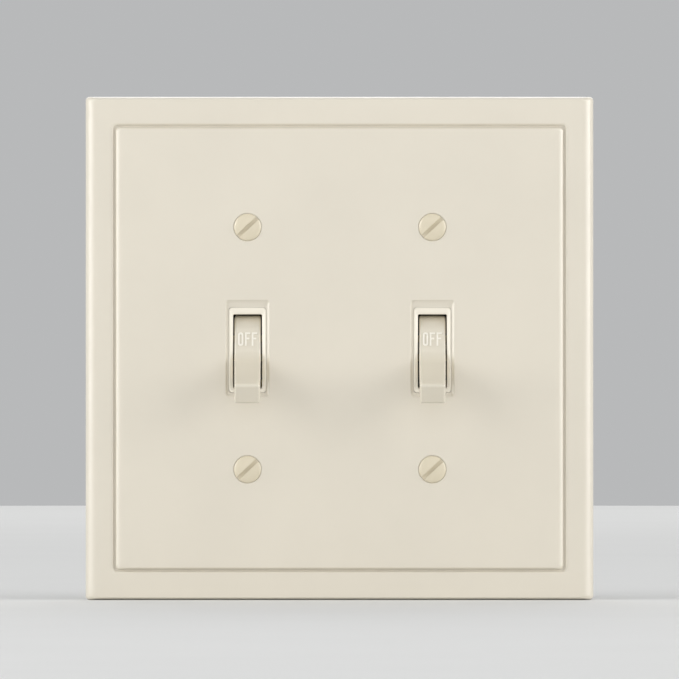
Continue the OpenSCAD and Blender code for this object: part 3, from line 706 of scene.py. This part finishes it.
def make_side_screws(side, node, material, ends, reach):
    """Binding-head screws along X that stand for one CAD node."""
    low, high = (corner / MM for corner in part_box(node))
    head_r = (high.y - low.y) / 2
    profile = arc(0, 0.35, head_r, SIDE_HEAD_T - 0.35, 90, 4, 10)
    profile += [(head_r - 0.1, 0.02), (head_r - 0.35, 0), (1.7, 0), (1.6, -0.4)]
    head = lathe("binding_head", profile, material)
    cutter = slot_cutter(material, SIDE_SLOT_W, SIDE_SLOT_DEPTH, SIDE_HEAD_T, SIDE_SLOT_TURN)
    combine(head, [cutter], "DIFFERENCE")
    soften(head, 0.08, 2)
    shank = threaded(
        "binding_shank", material, SIDE_THREAD_R, SIDE_ROOT_R, SIDE_PITCH, -0.2, -reach
    )
    screw = joined(head, shank)
    lay = Matrix.Rotation(math.radians(90), 4, "Z")
    places = [
        Matrix.Translation(Vector((high.x - SIDE_HEAD_T, (low.y + high.y) / 2, z)) * MM) @ lay
        for z in ends
    ]
    screws = copies(f"{node}_threaded", screw, places)
    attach(screws, "root")
    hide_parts(node)


# ---------------------------------------------------------------- cover with its collar

def make_cover(side):
    """One switch's front cover: its collar, the lever's slot, rivet holes and bearing cheeks."""
    x = GANG_X[side]
    low, high = COVER_BOX
    width, height = high.x - low.x, high.z - low.z

    def rect(shell, w, h, r, level, sag=0):
        return shell.ring(round_rect(w, h, r, (x, sag)), level)

    shell = Shell()
    rim = [(width, height, COVER_CORNER_R, level) for level in (-COVER_T, -COVER_CHAMFER)]
    trim = 2 * COVER_CHAMFER
    rim += [(width - trim, height - trim, COVER_CORNER_R - COVER_CHAMFER, 0)]
    outer = shell.loft([rect(shell, *size) for size in rim])
    rise = PLATE_TOP - COLLAR_FOOT
    collar = [(COLLAR_W, COLLAR_H + 0.2, COLLAR_R, 0), (COLLAR_W, COLLAR_H + 0.2, COLLAR_R, 1.3)]
    collar += [(COLLAR_W, COLLAR_H, COLLAR_R, rise, COLLAR_SAG)]
    for drop, level in arc(
        COLLAR_EDGE_R, COLLAR_TOP - COLLAR_EDGE_R, COLLAR_EDGE_R, COLLAR_EDGE_R, 180, 90, 4
    ):
        size = (COLLAR_W - 2 * drop, COLLAR_H - 2 * drop, COLLAR_R - drop)
        collar.append((*size, level, COLLAR_SAG))
    for grow, level in arc(SLOT_EDGE_R, -SLOT_EDGE_R - 0.1, SLOT_EDGE_R, SLOT_EDGE_R, 90, 180, 6):
        size = (LEVER_SLOT_W + 2 * grow, LEVER_SLOT_H + 2 * grow, SLOT_CORNER_R + grow)
        collar.append((*size, COLLAR_TOP - 0.12 + level, LIP_SAG))
    collar += [
        (LEVER_SLOT_W, LEVER_SLOT_H, SLOT_CORNER_R, COLLAR_TOP - 1.2, LIP_SAG),
        (LEVER_SLOT_W, LEVER_SLOT_H + 0.6, SLOT_CORNER_R, 1.2, -0.2),
        (LEVER_SLOT_W, LEVER_SLOT_H + 2, SLOT_CORNER_R, 0.3, 0),
        (LEVER_SLOT_W, LEVER_SLOT_H + 2, SLOT_CORNER_R, -COVER_T, 0),
    ]
    inner = shell.loft([rect(shell, *size) for size in collar])
    holes = []
    for end in (-1, 1):
        points = circle(RIVET_R, (x, end * RIVET_Z))
        holes.append(shell.loft([shell.ring(points, 0), shell.ring(points, -COVER_T)]))
    shell.fill([outer[1], inner[0]] + [hole[0] for hole in holes])
    shell.fill([outer[0], inner[1]] + [hole[1] for hole in holes])
    cover = shell.finish(f"{side}_collar_cover", COLLAR_PAINTED_LIGHT_PLASTIC)
    for end in (-1, 1):
        joined(cover, make_cheek(x, end))
    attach(cover, "root")
    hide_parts(f"{side}_front_cover")


def make_cheek(x, end):
    """Ear behind the cover with an open bearing for one of the lever's trunnions."""
    front, back = COVER_T - 0.3, PIVOT_DEPTH + CHEEK_BACK
    bearing = arc(PIVOT_DEPTH, 0, BEARING_R, BEARING_R, 51, 309, 20)
    outline = [(front, -CHEEK_HALF_H), (back, -CHEEK_HALF_H), (back, bearing[-1][1])]
    outline += bearing[::-1]
    outline += [(back, bearing[0][1]), (back, CHEEK_HALF_H), (front, CHEEK_HALF_H)]
    cheek = extruded("cheek", outline, CHEEK_HALF_T, COLLAR_PAINTED_LIGHT_PLASTIC)
    soften(cheek, 0.15, 2)
    return moved(cheek, Matrix.Translation(Vector((x + end * CHEEK_X, 0, 0)) * MM))


# ---------------------------------------------------------------- lever and its legends

def drum_radius(angle):
    """Distance from the pivot to the drum's face, fuller towards its ends."""
    turn = abs(math.degrees(angle))
    if turn < DRUM_SWELL_FROM:
        return DRUM_R
    if turn < DRUM_SWELL_TO:
        share = (turn - DRUM_SWELL_FROM) / (DRUM_SWELL_TO - DRUM_SWELL_FROM)
        return DRUM_R + DRUM_SWELL * (1 - math.cos(math.pi * share)) / 2
    return DRUM_R + DRUM_SWELL * (1 - ((turn - DRUM_SWELL_TO) / (90 - DRUM_SWELL_TO)) ** 2)


def lever_outline():
    """Side view of the lever as (y, z), pointing along -Y with its pivot at the origin."""
    upper = []
    for i in range(33):
        angle = DRUM_HALF + (NECK_BEND - DRUM_HALF) * i / 32
        radius = drum_radius(angle)
        upper.append((-radius * math.cos(angle), radius * math.sin(angle)))
    join = (-DRUM_R * math.cos(NECK_BEND), DRUM_R * math.sin(NECK_BEND))
    neck, tip_y = (NECK_Y, NECK_T / 2), -LEVER_LEN + TIP_R
    upper += bezier(join, (-9.05, NECK_T / 2), neck, 10)[1:]
    upper += bezier(neck, (-17, NECK_T / 2 + 0.1), (tip_y, TIP_T / 2), 8)[1:]
    upper += arc(tip_y, TIP_T / 2 - TIP_R, TIP_R, TIP_R, 90, 180, 5)[1:]
    lower = [(y, -z) for y, z in reversed(upper)]
    hub = arc(0, 0, HUB_R, HUB_R, -90, 90, 16)
    return upper + lower + hub


def make_lever(side):
    """One lever with its drum, trunnions and bored stem, and its two legends."""
    lever = extruded(f"{side}_lever", lever_outline(), LEVER_W / 2, LEVER_PLASTIC)
    reach = LEVER_LEN - DRUM_R
    for vert in lever.data.vertices:
        along = max(0, -vert.co.y / MM - DRUM_R) / reach
        vert.co.x *= 1 - LEVER_TAPER / LEVER_W * along
    soften(lever, LEVER_EDGE_R, 5, 55)
    bake(lever)
    half, bevel = LEVER_SLOT_W / 2 + TRUNNION_REACH, 0.1
    side_view = [(TRUNNION_R, -half + bevel), (TRUNNION_R, half - bevel)]
    ends = [(TRUNNION_R - bevel, -half), (TRUNNION_R - bevel, half)]
    pins = lathe("trunnions", [ends[0], *side_view, ends[1]], LEVER_PLASTIC)
    moved(pins, Matrix.Rotation(math.radians(90), 4, "Z"))
    stem_side = [(STEM_R, 0), (STEM_R, bevel - STEM_LEN), (STEM_R - bevel, -STEM_LEN)]
    stem = lathe("stem", stem_side, LEVER_PLASTIC)
    bore = lathe("bore", [(BORE_R, BORE_FRONT), (BORE_R, -STEM_LEN - 0.9)], LEVER_PLASTIC)
    combine(lever, [pins, stem], "UNION")
    combine(lever, [bore], "DIFFERENCE")
    stand = lever_stand(side)
    moved(lever, stand)
    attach(lever, f"{side}_toggle")
    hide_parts(f"{side}_toggle_lever")
    make_legend(side, "OFF", 1, stand)
    make_legend(side, "ON", -1, stand)


def lever_stand(side):
    """Where a lever stands at rest: tilted down about its pivot."""
    place = Matrix.Translation(Vector((GANG_X[side], PIVOT_DEPTH, 0)) * MM)
    return place @ Matrix.Rotation(HALF_THROW, 4, "X")


def letter_loops(letter):
    """Outlines of one plain capital as (across, up) points, holes after the outer one."""
    w, h, s = LETTER_W, LETTER_H, STROKE
    if letter == "O":
        outer = round_rect(w, h, w / 2.3, (w / 2, h / 2))
        inner = round_rect(w - 2 * s, h - 2 * s, w / 2.3 - s * 0.7, (w / 2, h / 2))
        return [outer, inner]
    if letter == "F":
        mid = h * 0.55
        return [[(0, 0), (s, 0), (s, mid - s / 2), (w * 0.85, mid - s / 2),
                 (w * 0.85, mid + s / 2), (s, mid + s / 2), (s, h - s), (w, h - s), (w, h), (0, h)]]
    return [[(0, 0), (s, 0), (s, h * 0.68), (w - s, 0), (w, 0), (w, h),
             (w - s, h), (w - s, h * 0.32), (s, h), (0, h)]]


def make_legend(side, word, end, stand):
    """Raised letters wrapped on the drum, above the lever for end 1 and below for -1."""
    bm = bmesh.new()
    pitch = LETTER_W + LETTER_GAP
    start = -(len(word) * pitch - LETTER_GAP) / 2
    for i, letter in enumerate(word):
        edges = []
        for loop in letter_loops(letter):
            verts = [bm.verts.new((start + i * pitch + u, 0, v - LETTER_H / 2)) for u, v in loop]
            edges += [
                bm.edges.new((vert, verts[(k + 1) % len(verts)])) for k, vert in enumerate(verts)
            ]
        bmesh.ops.triangle_fill(bm, use_beauty=True, edges=edges)
    cuts = 10
    for k in range(1, cuts):
        bmesh.ops.bisect_plane(
            bm, geom=bm.verts[:] + bm.edges[:] + bm.faces[:],
            plane_co=(0, 0, LETTER_H * (k / cuts - 0.5)), plane_no=(0, 0, 1), dist=1e-5,
        )
    raised = bmesh.ops.extrude_face_region(bm, geom=bm.faces[:])
    for item in raised["geom"]:
        if isinstance(item, bmesh.types.BMVert):
            item.co.y = 1
    for vert in bm.verts:
        angle = end * LEGEND_ANGLE + vert.co.z / DRUM_R
        radius = drum_radius(angle) + (LEGEND_RISE if vert.co.y > 0.5 else -LEGEND_SINK)
        vert.co = Vector(
            (vert.co.x, -radius * math.cos(angle), radius * math.sin(angle))
        ) * MM
    bmesh.ops.recalc_face_normals(bm, faces=bm.faces)
    mesh = bpy.data.meshes.new(f"{side}_legend_{word.lower()}")
    bm.to_mesh(mesh)
    bm.free()
    legend = mesh_piece(mesh.name, mesh, LEGEND_HIGHLIGHT_PLASTIC)
    soften(legend, 0.05, 2, 50)
    bake(legend)
    smooth(legend)
    moved(legend, stand)
    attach(legend, f"{side}_toggle")


# ---------------------------------------------------------------- CAD pieces that stay

CAD_FINISHES = {
    "mounting_strap": (ZINC, 0.18),
    "back_housing": (HOUSING_PLASTIC, 0.25),
    "plunger": (NYLON, 0.1),
    "plunger_spring": (SPRING_STEEL, 0),
    "rocker_blade": (BRASS, 0.1),
    "rocker_pin": (SPRING_STEEL, 0.12),
    "moving_contact": (SILVER, 0.12),
    "fixed_contact": (SILVER, 0.12),
    "common_terminal": (BRASS, 0.12),
    "load_terminal": (BRASS, 0.12),
    "screw_retainers": (FIBRE, 0.1),
    "rivets": (ZINC, 0.2),
}


def dress(node, material, edge):
    """Gives a CAD node its material and softens its sharp edges."""
    piece = frame["nodes"][node]
    piece.data.materials.clear()
    piece.data.materials.append(material)
    if not edge:
        return
    weld = piece.modifiers.new("weld", "WELD")
    weld.merge_threshold = 0.002 * MM
    planar = piece.modifiers.new("planar", "DECIMATE")
    planar.decimate_type = "DISSOLVE"
    planar.angle_limit = math.radians(1)
    bevel = piece.modifiers.new("soften", "BEVEL")
    bevel.width = edge * MM
    bevel.segments = 2
    bevel.limit_method = "ANGLE"
    bevel.angle_limit = math.radians(40)
    flat = piece.modifiers.new("flat", "WEIGHTED_NORMAL")
    flat.keep_sharp = True


def squeeze_spring(side):
    """Gives the plunger's spring its own copy of its mesh."""
    spring = frame["nodes"][f"{side}_plunger_spring"]
    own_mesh(spring)


# ---------------------------------------------------------------- studio

def make_floor():
    """A plain pale disc that the plate stands on."""
    bm = bmesh.new()
    bmesh.ops.create_circle(bm, cap_ends=True, segments=96, radius=FLOOR_R_M)
    bmesh.ops.translate(bm, vec=(0, 0, CAD_BOUNDS[0][2]), verts=bm.verts)
    mesh = bpy.data.meshes.new("floor")
    bm.to_mesh(mesh)
    bm.free()
    floor_finish = Finish("floor_paper", (0.74, 0.74, 0.73), 0.85, specular=0.2)
    floor_finish.mottle(floor_finish.noise(60, 2), 0.995, 1.005)
    mesh_piece("floor", mesh, floor_finish.material)


def area_light(name, place, size, power):
    """A soft light turned to the origin: place and size in metres, power in watts."""
    light = bpy.data.lights.new(name, "AREA")
    light.shape = "RECTANGLE"
    light.size, light.size_y = size
    light.energy = power
    lamp = bpy.data.objects.new(name, light)
    lamp.location = place
    toward = Vector((0, 0, 0)) - Vector(place)
    lamp.rotation_euler = toward.to_track_quat("-Z", "Y").to_euler()
    lamp.visible_camera = False
    bpy.context.scene.collection.objects.link(lamp)


def make_lights():
    """Soft boxes and narrow strips at both sides, weak fills in front and behind, a pale world."""
    area_light("left_box", (-1.12, -0.52, 0.10), (1.0, 1.3), 12.6)
    area_light("right_box", (1.18, -0.48, 0.10), (1.0, 1.3), 13)
    area_light("left_strip", (-1.15, -0.17, 0.10), (0.2, 1.2), 2.6)
    area_light("right_strip", (1.15, -0.17, 0.10), (0.2, 1.2), 2.6)
    area_light("front_fill", (0.0, -1.7, 0.4), (1.8, 1.2), 5)
    area_light("back_fill", (0.0, 1.6, 0.9), (1.6, 1.2), 8)
    world = bpy.data.worlds.new("studio")
    world.use_nodes = True
    background = world.node_tree.nodes["Background"]
    background.inputs["Color"].default_value = (0.80, 0.81, 0.82, 1)
    background.inputs["Strength"].default_value = 0.60
    bpy.context.scene.world = world
    bpy.context.scene.view_settings.view_transform = "Standard"


def make_camera():
    """A long lens square to the plate, the plate a little below the middle of the frame."""
    lens, sensor, frame_width, rise = 600, 36, 169.1, 2.2
    camera = bpy.data.cameras.new("camera")
    camera.lens = lens
    camera.sensor_width = sensor
    camera.clip_start = 0.01
    eye = bpy.data.objects.new("camera", camera)
    distance = frame_width * lens / sensor + PLATE_TOP
    eye.location = Vector((PLATE_SHIFT, -distance, rise)) * MM
    eye.rotation_euler = (math.radians(90), 0, 0)
    bpy.context.scene.collection.objects.link(eye)
    bpy.context.scene.camera = eye


make_camera()
make_lights()
make_floor()
make_plate()
make_plate_screws()
for gang in SIDES:
    make_cover(gang)
    make_lever(gang)
    make_device_screws(gang)
    make_side_screws(gang, f"{gang}_terminal_screws", BRASS_SCREW, (-13, 13), 4.2)
    make_side_screws(gang, f"{gang}_ground_screw", GREEN_SCREW, (-31.65,), 4.6)
    for part, (finish_material, edge_width) in CAD_FINISHES.items():
        dress(f"{gang}_{part}", finish_material, edge_width)
    squeeze_spring(gang)
